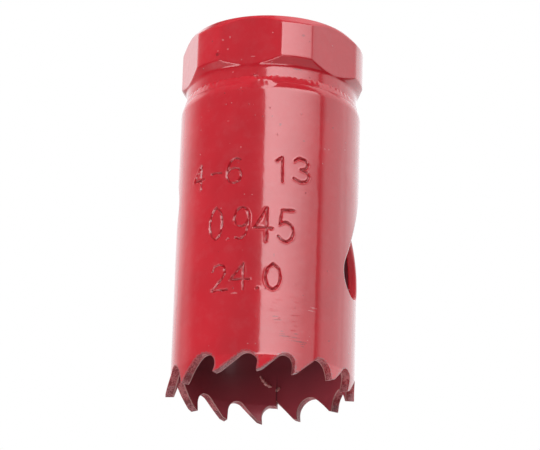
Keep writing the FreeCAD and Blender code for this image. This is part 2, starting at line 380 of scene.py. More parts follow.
def edgeSteps(outerRound, innerRound):
    # (offset into the metal, depth below the outer wall) across a cut edge: a quarter
    # round at the outside, a straight run, and a quarter round at the inside
    turns = np.radians([0, 30, 60, 90])
    outer = np.stack([outerRound * (1 - np.sin(turns)), outerRound * (1 - np.cos(turns))], axis=1)
    run = np.linspace(outerRound, band["wall"] - innerRound, 5)[1:-1]
    innerDepth = band["wall"] - innerRound + innerRound * np.sin(turns)
    inner = np.stack([innerRound * (1 - np.cos(turns)), innerDepth], axis=1)
    return np.concatenate([outer, np.stack([0 * run, run], axis=1), inner])


def cutEdge(line, normal, steps, lean=0.0):
    # wall of a cut edge: each point of the line, carried across the steps
    place = line[:, None, :] + normal[:, None, :] * steps[None, :, :1]
    points = onWall(place, np.broadcast_to(steps[None, :, 1], place.shape[:2]), lean)
    share = steps[:, 1] / band["wall"]
    return {"points": points, "rim": 0.0, "strip": place, "depth": share, "coat": edgeCoat, "flip": True}


def wallFace(place, depth, lean=0.0, **more):
    # one face of the wall at strip places: the outer one, or the inner one, turned round
    isInner = depth > 0
    return {"points": onWall(place, np.full(place.shape[:2], depth), lean), "strip": place,
            "flip": isInner, "coat": innerCoat if isInner else outerCoat} | more


def rimGap(place, line):
    # distance of strip places from a line
    return segmentDistance(place.reshape(-1, 2), line[:-1], line[1:]).reshape(place.shape[:-1])


def spread(count, crowd=0.35):
    # 0 to 1 in count steps, closer together at both ends
    t = np.linspace(0, 1, count + 1)
    return (1 - crowd) * t + crowd * (0.5 - 0.5 * np.cos(np.pi * t))


def cutAt(sheet, rows):
    # some rows of a sheet
    return sheet | {key: sheet[key][rows] for key in ("points", "strip")}


def wallFaces(rounds):
    # the two faces of the wall: depth below the outer one, and where the cut edge's round ends
    return (0.0, rounds["outerRound"]), (band["wall"], rounds["innerRound"])


toothSteps = edgeSteps(band["outerRound"], band["innerRound"])
bandSheets, bandEnds, tipSheets, tipEnds, columnPlaces = [], [], [], [], []
for k in range(toothCount):
    start = k * perTooth
    line, normal = wrapOutline[start:start + perTooth + 1], wrapInward[start:start + perTooth + 1]
    lean = {1: teeth["setOut"], 0: 0.0, -1: -teeth["setIn"]}[teeth["sets"][k]]
    left, leftIn = line[:sideCount][::-1], normal[:sideCount][::-1]
    right, rightIn = line[sideCount:], normal[sideCount:]
    columns = spread(max(8, round((right[-1, 0] - left[-1, 0]) / band["columnStep"])))
    cuts = []
    for depth, offset in wallFaces(band):
        # each face of the tooth, from its edge to its edge, and the skirt from there to the tube
        a, b = left + leftIn * offset, right + rightIn * offset
        place = a[:, None, :] + (b - a)[:, None, :] * columns[None, :, None]
        face = wallFace(place, depth, lean)
        gap = rimGap(place, line)
        tipSheets.append(cutAt(face, slice(0, hardRow + 1)) | {"rim": gap[:hardRow + 1]})
        bandSheets.append(cutAt(face, slice(hardRow, None)) | {"rim": gap[hardRow:]})
        top = place[-1]
        rows = spread(teeth["skirtRows"], 0.0)
        skirt = np.stack([np.broadcast_to(top[:, 0], (len(rows), len(top))),
                          top[:, 1] + (teeth["top"] - top[:, 1]) * rows[:, None]], axis=-1)
        bandSheets.append(wallFace(skirt, depth, rim=rimGap(skirt, line)))
        cuts.append(face["points"][hardRow])
        if depth == 0:
            columnPlaces.append(top[:-1, 0])
    # the cut edge runs up one side of the tooth and down the other, in steel, hard steel, steel
    edge = cutEdge(line, normal, toothSteps, lean)
    first, second = sideCount - 1 - hardRow, sideCount + hardRow
    tipSheets.append(cutAt(edge, slice(first, second + 1)))
    bandSheets += [cutAt(edge, slice(0, first + 1)), cutAt(edge, slice(second, None))]
    ring = np.concatenate([cuts[0], edge["points"][second], cuts[1][::-1], edge["points"][first][::-1]])
    tipEnds.append(ring)
    bandEnds.append(ring[::-1])
print("teeth laid out")

# The tube above the teeth: one grid of columns and rows, less the windows of slots and figures
bandColumns = np.concatenate(columnPlaces + [columnPlaces[0][:1] + turnLength])
shoulderFoot = band["height"] - band["shoulderDrop"]
weldFootHeight = band["height"] - band["weldFoot"]
windowHeights = {h for window in stamps["windows"] for h in window[2:]}
windowHeights = sorted(windowHeights | {slots["windowLow"], slots["windowHigh"]})
bandRows = divided([teeth["top"]] + windowHeights + [shoulderFoot], band["rowStep"])
bandRows = np.concatenate([bandRows, divided([shoulderFoot, weldFootHeight], band["shoulderStep"])[1:]])


def windowCells(west, east, low, high):
    # the columns and rows of the grid that are nearest to a window's sides
    columns = [int(np.argmin(np.abs(bandColumns - along))) for along in (west, east)]
    rows = [int(np.argmin(np.abs(bandRows - height))) for height in (low, high)]
    return *columns, *rows


def slotReach(across, lengthwise):
    # distance from the slot's middle to its edge along a direction: the straight sides
    # where the ray meets them first, and otherwise the round ends
    r, half = slots["width"] / 2, slots["length"] / 2 - slots["width"] / 2
    straight = r / np.maximum(np.abs(across), 1e-9)
    ends = half * np.abs(lengthwise) + np.sqrt(np.maximum(r ** 2 - (half * across) ** 2, 0))
    return np.where(straight * np.abs(lengthwise) <= half, straight, ends)


placeGrid = np.stack(np.meshgrid(bandColumns, bandRows), axis=-1)
outerKeep = np.ones((len(bandRows) - 1, len(bandColumns) - 1), dtype=bool)
innerKeep = outerKeep.copy()
rimGrid = np.full(placeGrid.shape[:2], farFromRim)
rimGrid[:4] = rimGap(placeGrid[:4], wrapOutline)
slotSteps = edgeSteps(slots["outerRound"], slots["innerRound"])
# full coat inside the slot, starved at its arrises
slotRim = np.where(np.arange(len(slotSteps)) % (len(slotSteps) - 1), farFromRim, 0.0)
slotShare = slotSteps[:, 1] / band["wall"] * slots["edgeDepth"]
rings = np.array(slots["rings"])[:, None, None]
slant = math.radians(slots["slant"])

for middle in slots["middles"]:
    centre = np.array([math.radians(middle) * radius, slots["height"]])
    if centre[0] - slots["windowAcross"] < bandColumns[0]:
        centre[0] += turnLength
    west, east = centre[0] - slots["windowAcross"], centre[0] + slots["windowAcross"]
    left, right, low, high = windowCells(west, east, slots["windowLow"], slots["windowHigh"])
    outerKeep[low:high, left:right] = False
    innerKeep[low:high, left:right] = False
    # the window's edge, anticlockwise from its lower left corner
    border = np.concatenate([placeGrid[low, left:right], placeGrid[low:high, right],
                             placeGrid[high, right:left:-1], placeGrid[high:low:-1, left]])
    border = np.concatenate([border, border[:1]])
    # the slot's edge lies on the rays from its middle to the window's edge
    ray = border - centre
    ray /= np.hypot(*ray.T)[:, None]
    across = ray[:, 0] * math.cos(slant) - ray[:, 1] * math.sin(slant)
    lengthwise = ray[:, 0] * math.sin(slant) + ray[:, 1] * math.cos(slant)
    rim = centre + ray * slotReach(across, lengthwise)[:, None]
    clockwise = rim[::-1]
    normal = mitred(clockwise[:-1], 0.0)
    normal = np.concatenate([normal, normal[:1]])
    edge = cutEdge(clockwise, normal, slotSteps)
    bandSheets.append(edge | {"coat": outerCoat, "rim": slotRim, "depth": slotShare})
    for depth, offset in wallFaces(slots):
        start = rim + normal[::-1] * offset
        place = start + (border - start) * rings
        face = wallFace(place, depth, rim=np.hypot(*(place - rim).transpose(2, 0, 1)))
        bandSheets.append(face | {"flip": not face["flip"]})

# Stamped figures: the wall sinks in a V along each stroke, with a small lip thrown up beside it


def smoothed(line):
    # a curved stroke as a smooth run through its points: finely divided, then averaged twice
    # with weights 1, 4, 6, 4, 1, its ends carried on straight so that they stay in place
    at, knots = np.linspace(0, len(line) - 1, 6 * len(line)), np.arange(len(line))
    run = [np.interp(at, knots, line[:, axis]) for axis in (0, 1)]
    for _ in range(2):
        longer = [np.concatenate([2 * v[0] - v[2:0:-1], v, 2 * v[-1] - v[-2:-4:-1]]) for v in run]
        run = [np.convolve(v, np.array([1, 4, 6, 4, 1]) / 16, "valid") for v in longer]
    return np.stack(run, axis=1)


strokes = [np.array(stroke) * [width, height] + [left, foot]
           for sign, left, foot, width, height in stamps["figures"] for stroke in figureStrokes[sign]]
strokes = [smoothed(line) if len(line) > 3 else line for line in strokes]
strokeStarts = np.concatenate([line[:-1] for line in strokes])
strokeEnds = np.concatenate([line[1:] for line in strokes])


def stampDepth(place):
    # depth of the stamped strokes at strip places: a V by the distance from the nearest stroke,
    # its depth and width uneven by slow waves, with a bell-shaped lip at its edge
    gap = segmentDistance(place.reshape(-1, 2), strokeStarts, strokeEnds).reshape(place.shape[:-1])
    along, height = place[..., 0], place[..., 1]
    uneven = 1 + 0.22 * np.sin(along * 3.1 + 1.3 * np.sin(height * 2.3))
    uneven = uneven + 0.16 * np.sin(height * 7.7 + along * 5.1)
    half = stamps["halfWidth"] * (0.92 + 0.1 * np.sin(height * 4.1 + along * 2.2))
    fall = np.clip(1 - gap / half, 0, 1)
    groove = stamps["depth"] * uneven * (fall ** 1.1 * (1.15 - 0.15 * fall))
    return groove - stamps["lip"] * np.exp(-((gap - half * 1.12) / 0.09) ** 2)


columnPoints = onWall(placeGrid[0], np.zeros(len(bandColumns)))
for window in stamps["windows"]:
    left, right, low, high = windowCells(*window)
    outerKeep[low:high, left:right] = False
    along = divided([bandColumns[left], bandColumns[right]], stamps["step"])
    heights = divided([bandRows[low], bandRows[high]], stamps["step"])
    place = np.stack(np.meshgrid(along, heights), axis=-1)
    depth = stampDepth(place)
    # nothing is sunk at the window's border, which lies on the straight lines between columns
    inset = np.minimum.reduce([place[..., 0] - along[0], along[-1] - place[..., 0],
                               place[..., 1] - heights[0], heights[-1] - place[..., 1]])
    points = onWall(place, depth * smoothRamp(inset, 0, stamps["fade"]))
    for row in (0, -1):
        for axis in (0, 1):
            points[row, :, axis] = np.interp(along, bandColumns[left:right + 1],
                                             columnPoints[left:right + 1, axis])
    bandSheets.append({"points": points, "strip": place, "depth": depth / band["wall"]})

bandSheets.append(wallFace(placeGrid, 0.0, rim=rimGrid, keep=outerKeep))
bandSheets.append(wallFace(placeGrid, band["wall"], rim=rimGrid, keep=innerKeep))
# the welded top: from the shoulder to the root, across the end and down inside
footRadius = radius - float(shoulderFall(np.array(weldFootHeight)))
innerRadius = radius - band["wall"]
endProfile = np.array([(footRadius, weldFootHeight), (band["weldRoot"], band["height"]),
                       (innerRadius, band["height"]), (innerRadius, weldFootHeight)])
bandSheets.append({"points": aroundAxis(endProfile[:, :1], bandColumns / radius, endProfile[:, 1:])})

sawBand = makeMesh("saw_band_lacquered", bandSheets, bandEnds)
hardTips = makeMesh("hard_steel_tips_ground", tipSheets, tipEnds)
print("band and tips made")


# Two runs of lacquer that dried on the inner wall beside the butt seam
runs = {
    "paths": [
        [(36.2, 5.95), (35.95, 5.6), (35.59, 5.16), (35.3, 4.88), (35.01, 4.66), (34.7, 4.55), (34.4, 4.52)],
        [(33.95, 3.95), (33.75, 4.05), (33.5, 4.2), (33.25, 4.38)],
    ],
    "halfWidth": 0.21, "height": 0.27, "step": 0.05, "around": 14,
}


def makeRuns():
    # an oval section carried along each path on the wall, lumpy by sine waves of the share of
    # the path run, and pinched at both ends
    sheets = []
    for path in runs["paths"]:
        line = np.array(path)
        length = np.hypot(*np.diff(line, axis=0).T).sum()
        line = resampled(line, int(length / runs["step"]) + 2)
        t = np.linspace(0, 1, len(line))
        run = np.gradient(line, axis=0)
        side = np.stack([-run[:, 1], run[:, 0]], axis=1) / np.hypot(*run.T)[:, None]
        size = np.sin(np.pi * t) ** 0.4 * (1 + 0.3 * np.sin(23 * t + 1) + 0.18 * np.sin(41 * t))
        angles = np.linspace(0, 2 * np.pi, runs["around"] + 1)
        across = runs["halfWidth"] * size[:, None] * np.cos(angles)
        place = line[:, None, :] + side[:, None, :] * across[..., None]
        depth = band["wall"] + runs["height"] * size[:, None] * np.sin(angles)
        sheets.append({"points": onWall(place, depth), "strip": place, "flip": True})
    return makeMesh("lacquer_runs", sheets)


lacquerRuns = makeRuns()


# The backing cap: turned, flatted and bored, with the arbor's thread
cap = {
    "radius": 11.6, "rimFoot": 41.0, "top": 46.85,
    "flats": 6, "flatDepth": 0.7, "flatTurn": -15.0, "flatsAbove": 39.7, "flatsBeyond": 9.5,
    "topChamferWidth": 1.05, "topChamferHeight": 1.2, "neckRadius": 10.8, "neckTop": 40.0,
    "weldTop": 38.6, "stepTop": 38.3, "stepFoot": 38.1, "stepWidth": 0.25, "stepRound": 0.05,
    "edgeRound": 0.14, "neckRound": 0.35, "topRound": 0.16, "boreRound": 0.12,
    "flatBlend": 0.1, "profileStep": 0.16, "roundStep": 0.09,
    "boreRadius": 5.7, "boreChamfer": 0.7, "foot": 35.5, "spigotRadius": 10.27, "spigotChamfer": 0.4,
    "threadPitch": 1.27, "threadDepth": 0.62, "threadStep": 0.09, "threadFade": 0.5,
    "threadSlope": 2.0, "threadRoot": 0.45, "threadColumns": 120, "turnStep": 1.8,
    # columns beside each corner between two flats, in degrees from it
    "cornerTurns": [-1.4, -0.9, -0.55, -0.3, -0.1, 0.1, 0.3, 0.55, 0.9, 1.4],
}


def roundedProfile(corners, step):
    # an open run of (radius, height, round) corners, each rounded by a quadratic curve that
    # leaves its two sides at the same distance, with points no further apart than step
    rounds = [corner[2] for corner in corners]
    corners = np.array([corner[:2] for corner in corners])
    pieces = [corners[:1]]
    for i in range(1, len(corners) - 1):
        before, after = corners[i - 1] - corners[i], corners[i + 1] - corners[i]
        reach = min(rounds[i], 0.45 * np.hypot(*before), 0.45 * np.hypot(*after))
        a = corners[i] + before / np.hypot(*before) * reach
        b = corners[i] + after / np.hypot(*after) * reach
        t = np.linspace(0, 1, max(3, math.ceil(2.2 * reach / cap["roundStep"])) + 1)[:, None]
        pieces.append((1 - t) ** 2 * a + 2 * t * (1 - t) * corners[i] + t ** 2 * b)
    line = np.concatenate(pieces + [corners[-1:]])
    filled = [line[:1]]
    for a, b in zip(line[:-1], line[1:]):
        count = max(1, math.ceil(np.hypot(*(b - a)) / step))
        filled.append(a + (b - a) * (np.arange(1, count + 1) / count)[:, None])
    return np.concatenate(filled)


def capColumns():
    # the angles of the columns: even ones, and closer ones at each corner between two flats
    corner = math.degrees(math.acos((cap["radius"] - cap["flatDepth"]) / cap["radius"]))
    middles = cap["flatTurn"] + 360 / cap["flats"] * np.arange(cap["flats"])
    beside = np.array([[-corner], [corner]]) + cap["cornerTurns"]
    closer = (middles[:, None] + beside.reshape(-1)).reshape(-1)
    turns = np.concatenate([np.arange(-180, 180, cap["turnStep"]), closer])
    turns = np.unique(np.round((turns + 180) % 360 - 180, 3))
    return np.append(turns, turns[0] + 360)


def makeCap():
    # the turned outside, from the foot's chamfer over spigot, neck and rim to the bore
    edge, chamferRadius = cap["edgeRound"], cap["boreRadius"] + cap["boreChamfer"]
    outside = roundedProfile([
        (chamferRadius, cap["foot"], 0),
        (cap["spigotRadius"] - cap["spigotChamfer"], cap["foot"], edge),
        (cap["spigotRadius"], cap["foot"] + cap["spigotChamfer"], edge),
        (cap["spigotRadius"], band["height"], edge),
        (cap["neckRadius"] - cap["stepWidth"], cap["stepFoot"], cap["stepRound"]),
        (cap["neckRadius"], cap["stepTop"], cap["stepRound"]),
        (cap["neckRadius"], cap["neckTop"], cap["neckRound"]),
        (cap["radius"], cap["rimFoot"], edge),
        (cap["radius"], cap["top"] - cap["topChamferHeight"], edge),
        (cap["radius"] - cap["topChamferWidth"], cap["top"], cap["topRound"]),
        (chamferRadius, cap["top"], cap["boreRound"]),
        (cap["boreRadius"], cap["top"] - cap["boreChamfer"], 0),
    ], cap["profileStep"])
    turns = capColumns()
    # the rim's distance from the axis is the smooth minimum of the turned profile and the flats
    share = 360 / cap["flats"]
    fromFlat = (turns - cap["flatTurn"] + share / 2) % share - share / 2
    flats = (cap["radius"] - cap["flatDepth"]) / np.cos(np.radians(fromFlat))
    height = outside[:, 1:]
    distance = outside[:, :1] + 0 * turns
    inRim = (height > cap["flatsAbove"]) & (distance > cap["flatsBeyond"])
    mix = np.clip(0.5 + 0.5 * (flats - distance) / cap["flatBlend"], 0, 1)
    cut = flats * (1 - mix) + distance * mix - cap["flatBlend"] * mix * (1 - mix)
    distance = np.where(inRim, np.minimum(cut, distance), distance)
    angle = np.radians(turns)
    strip = np.stack(np.broadcast_arrays(angle * radius, height), axis=-1)
    sheets = [{"points": aroundAxis(distance, angle, height), "strip": strip}]
    # thread: the wall's distance goes out by a trapezoid wave of (height / pitch - turn / 360)
    low, high = cap["foot"] + cap["boreChamfer"], cap["top"] - cap["boreChamfer"]
    rows = divided([low, high], cap["threadStep"])
    columns = np.radians(np.linspace(-180, 180, cap["threadColumns"] + 1))
    rowGrid, turnGrid = np.meshgrid(rows, columns, indexing="ij")
    phase = (rowGrid / cap["threadPitch"] - turnGrid / (2 * math.pi)) % 1
    wave = np.clip(cap["threadSlope"] * (1 - np.abs(2 * phase - 1)) - cap["threadRoot"], 0, 1)
    fadeIn = smoothRamp(rowGrid, low, low + cap["threadFade"])
    fadeOut = smoothRamp(rowGrid, high, high - cap["threadFade"])
    bore = cap["boreRadius"] + cap["threadDepth"] * wave * fadeIn * fadeOut
    sheets.append({"points": aroundAxis(bore, turnGrid, rowGrid), "flip": True})
    # the lower chamfer closes the bore to the foot
    chamfer = np.array([(cap["boreRadius"], low), (chamferRadius, cap["foot"])])
    sheets.append({"points": aroundAxis(chamfer[:, :1], angle, chamfer[:, 1:]), "flip": True})
    return makeMesh("backing_cap_lacquered", sheets, sharpAngle=50)


backingCap = makeCap()


# The weld bead between the cap's neck and the band's shoulder. Where its end meets its start it
# is steeper and reaches down the shoulder, and has a low saddle with a slight hollow. Turns and
# their widths are radians here
weld = {
    "rows": 18, "columns": 900, "hollow": 0.03, "ripple": 0.006, "ragged": 0.13, "sink": 0.12,
    "uneven": 0.018, "lap": 0.02, "lift": 0.005, "inside": 0.97, "innerDrop": 0.12,
    "stopTurn": -0.105, "stopWidth": 0.17, "stopDrop": 0.9, "stopSteep": 8.0, "steepWidth": 0.09,
    "stopHollow": 0.05, "saddleTurn": -0.12, "saddleWidth": 0.07, "saddle": 0.28,
    # spatter: turn, distance from the axis, height and size
    "spatter": [
        (-0.212, 10.82, 38.75, 0.13), (-0.176, 10.9, 38.45, 0.1), (-0.1285, 11.1, 38.0, 0.12),
        (-0.373, 11.37, 36.6, 0.1), (-0.325, 11.38, 36.4, 0.12), (-0.28, 11.36, 36.76, 0.09),
        (-0.518, 11.38, 34.88, 0.15), (-0.747, 11.38, 34.49, 0.11), (-0.246, 11.38, 34.51, 0.13),
        (-0.175, 11.38, 33.0, 0.11), (-0.2, 11.38, 34.42, 0.1), (0.554, 10.98, 38.09, 0.14),
        (-0.179, 10.8, 39.01, 0.08), (1.9, 11.0, 38.2, 0.15), (2.7, 11.36, 36.9, 0.12),
        (-1.9, 10.85, 38.8, 0.13), (-2.4, 11.37, 36.5, 0.11),
    ],
}


def makeWeld():
    # a section from the band's shoulder to the neck, carried round the axis; its hollow,
    # height and face wander with the angle, and its upper edge is ragged
    turns = np.linspace(-math.pi, math.pi, weld["columns"] + 1)
    t = np.linspace(0, 1, weld["rows"])[:, None]
    ragged = wander(turns, 5, [3, 7, 13, 22, 37, 61, 88], weld["ragged"])
    # bells round the place of the stop: a flat-topped one, and two narrow ones
    stop = np.exp(-((turns - weld["stopTurn"]) / weld["stopWidth"]) ** 6)
    steep = np.exp(-((turns - weld["stopTurn"]) / weld["steepWidth"]) ** 2)
    saddle = weld["saddle"] * np.exp(-((turns - weld["saddleTurn"]) / weld["saddleWidth"]) ** 2)
    footHeight = weldFootHeight - weld["lap"] - weld["stopDrop"] * stop
    footDistance = radius - shoulderFall(footHeight) + weld["lift"]
    headDistance = cap["neckRadius"] + weld["lap"]
    headHeight = cap["weldTop"] + ragged * 0.9 - saddle
    distance = footDistance + (headDistance - footDistance) * t ** (1 + weld["stopSteep"] * steep)
    distance = distance - weld["stopHollow"] * steep * np.sin(np.pi * t)
    height = footHeight + (headHeight - footHeight) * t
    # swelling towards the outside and up, fading at both edges
    uneven = wander(turns, 8, [5, 11, 19, 31, 47, 70], weld["uneven"])
    ripple = weld["ripple"] * np.sin(95 * turns + 3 * np.sin(9 * turns) + 2.5 * t)
    swell = np.sin(np.pi * t) ** 2 * (weld["hollow"] + uneven + ripple)
    distance, height = distance + swell * 0.7, height + swell * 0.7
    # the upper edge dips under the neck
    distance = distance - weld["sink"] * np.exp(-(1 - t) / 0.05)
    points = aroundAxis(distance, turns, height)
    inner = points[::-1] * [weld["inside"], weld["inside"], 1]
    inner[..., 2] = np.clip(inner[..., 2], weldFootHeight - weld["innerDrop"], None)
    sheets = [{"points": grid} for grid in (points, np.stack([points[-1], inner[0]]),
                                            inner, np.stack([inner[-1], points[0]]))]
    # each bead of spatter is a flattened ball, by the tilt from its pole and the turn round it
    tilt, ring = np.linspace(0, np.pi, 9)[:, None], np.linspace(0, 2 * np.pi, 15)
    for turn, middle, lift, size in weld["spatter"]:
        outwards = middle + 0.7 * size * np.cos(tilt) + 0 * ring
        sideways = turn + size * np.sin(tilt) * np.cos(ring) / middle
        upwards = lift + size * np.sin(tilt) * np.sin(ring)
        sheets.append({"points": aroundAxis(outwards, sideways, upwards), "flip": True})
    return makeMesh("weld_bead_lacquered", sheets, sharpAngle=70)


weldBead = makeWeld()
print("cap and weld made")


# Materials: colours are hex codes and sizes are in millimetres
finish = {
    "lacquer": "#DD1B2D", "lacquerDeep": "#D0192A", "capLacquer": "#E01C2E", "capDeep": "#D51A2B",
    # the pale nib colour on the next line is partly a painted glint
    # the stroke colour on the next line is painted shade in the stamped strokes
    "milky": "#EC969C", "paintedGrooveShade": "#86161F", "nibDustAndGlint": "#E68C92", "nibDark": "#5E1820",
    # the light mark colour on the next line is a painted highlight
    "rimSpeck": "#A85C60", "dark": "#7A1822", "light": "#EE9CA0", "seam": "#2A0A0E",
    "edge": ("#9C2A33", "#CC6A6D", "#DCA29C"), "tipEdge": ("#88282F", "#BE7074", "#D69A94"),
    # the inner coat's colours on the next line: its dark end is painted shade in the cup, its pale end
    # painted light towards the mouth
    # the runs' colours on the next line are pale as a painted highlight on them
    "overspray": ("#88343E", "#DC5866"), "paleRunsPaintedHighlight": ("#DC8E8A", "#F6CAC2"),
    # noise patterns: size of the features, detail and roughness
    "cloud": (6.0, 3.0, 0.5), "mottle": (1.6, 4.0, 0.6), "grit": (0.2, 3.0, 0.65),
    "wave": (9.0, 1.0, 0.5), "peel": (1.1, 2.0, 0.4), "patch": (9.0, 2.0, 0.5),
    "gloss": (2.2, 3.0, 0.5), "edgeGrit": (0.2, 3.0, 0.6), "blot": (1.3, 2.0, 0.5),
    "mistCloud": (4.0, 4.0, 0.5), "mist": (0.35, 3.0, 0.5), "grain": (1.5, 2.0, 0.5),
    "speck": 0.95, "noNibs": 0.77, "nibShare": 0.62, "rimBand": 0.38, "markShare": 0.6,
    "scratch": (3.0, 3.0, 0.22),  # about its length across the tube, and its width up it
    "worn": (3.2, 6.9, 4.2, 3.4),  # scratched place: along, height, half width, half height
    # painted light in the cup: gain a millimetre to the right and upwards, level, and cloudiness
    "paintedLightRight": 0.0212, "paintedLightUp": -0.1695, "paintedLightLevel": 0.96, "mistUneven": 0.25,
}


# Small marks in the lacquer, by strip place: along, height, half width, half height. The light ones are
# painted highlights, pale specks where nibs and weld spatter catch the light, except the last three, which
# are two scratches and a nib
marks = {
    "dark": [
        (1.21, 31.8, 0.16, 0.2), (8.53, 32.75, 0.13, 0.12), (4.27, 30.0, 0.15, 0.13),
        (0.18, 32.87, 0.1, 0.1), (0.91, 14.69, 0.07, 0.3), (8.75, 4.97, 0.2, 0.1),
        (3.74, 44.01, 0.24, 0.2), (-7.36, 41.79, 0.34, 0.3), (3.3, 39.66, 0.8, 0.13),
        # fine scratches under the figures
        (1.35, 6.87, 0.5, 0.12), (1.58, 6.45, 0.63, 0.08), (2.17, 5.03, 0.28, 0.08),
        (2.25, 4.72, 0.5, 0.07), (2.57, 4.47, 0.71, 0.11), (3.66, 4.43, 0.83, 0.1),
        (3.91, 4.92, 0.33, 0.1), (4.31, 3.99, 1.28, 0.12), (4.88, 3.74, 0.33, 0.09),
        (4.84, 3.43, 0.23, 0.09),
    ],
    "light": [
        # painted highlights: pale specks where nibs and weld spatter catch the light
        (-7.3, 42.25, 0.1, 0.12), (7.3, 29.6, 0.1, 0.1), (7.95, 29.71, 0.1, 0.1),
        (10.99, 30.59, 0.12, 0.1), (-5.52, 32.54, 0.16, 0.08), (-3.64, 28.85, 0.09, 0.14),
        (-3.87, 9.86, 0.4, 0.13), (-5.39, 39.33, 0.1, 0.1), (-2.15, 38.54, 0.3, 0.16),
        (-2.62, 41.12, 0.4, 0.06), (-6.64, 43.64, 0.14, 0.14), (-5.78, 43.98, 0.1, 0.2),
        (-5.98, 42.36, 0.12, 0.12),
        # two scratches and a nib right of the figures
        (6.18, 8.61, 0.54, 0.1), (5.93, 8.17, 0.58, 0.07), (5.5, 4.35, 0.09, 0.1),
    ],
}


def newMaterial(name, *patterns):
    # an empty material, its nodes, its Object coordinates and the noise patterns it needs
    material = bpy.data.materials.new(name)
    material.use_nodes = True
    tree = material.node_tree
    tree.nodes.clear()
    place = addNode(tree, "TexCoord").outputs["Object"]
    clouds = []
    for pattern in patterns:
        size, detail, roughness = finish[pattern]
        settings = {"Scale": 1000 / size, "Detail": detail, "Roughness": roughness}
        clouds.append(addNode(tree, "TexNoise", settings, {"Vector": place}))
    return material, tree, place, *clouds


def mixColour(tree, share, first, second):
    # a colour mix whose ends are hex codes, nodes or sockets
    ends = {6: first, 7: second}
    plain = {key: linearColour(end) for key, end in ends.items() if isinstance(end, str)}
    linked = {key: end for key, end in ends.items() if not isinstance(end, str)}
    return addNode(tree, "Mix", {"data_type": "RGBA"} | plain, {0: share} | linked).outputs[2]


def markReach(tree, strip, along, height, halfWidth, halfHeight):
    # distance from an oval mark's middle by strip place: 1 at its outline
    apart = addNode(tree, "VectorMath", {"operation": "SUBTRACT", 1: (along, height, 0)}, {0: strip})
    size = (1 / halfWidth, 1 / halfHeight, 0)
    scaled = addNode(tree, "VectorMath", {"operation": "MULTIPLY", 1: size}, {0: apart})
    return addNode(tree, "VectorMath", {"operation": "LENGTH"}, {0: scaled}).outputs["Value"]


def markMask(tree, strip, tone, warp):
    # the largest of smooth steps over the marks of one tone: 1 where reach + 2.4 warp is below
    # 1.5 and 0 where it is above 2.4, so the warp makes the outline uneven
    total = None
    for mark in marks[tone]:
        reach = markReach(tree, strip, *mark)
        uneven = addNode(tree, "Math", {"operation": "MULTIPLY_ADD", 1: 2.4}, {0: warp, 2: reach})
        spot = addNode(tree, "MapRange", {"interpolation_type": "SMOOTHSTEP", "From Min": 2.4,
                                          "From Max": 1.5}, {"Value": uneven})
        total = addNode(tree, "Math", {"operation": "MAXIMUM"}, {0: total, 1: spot}) if total else spot
    return total


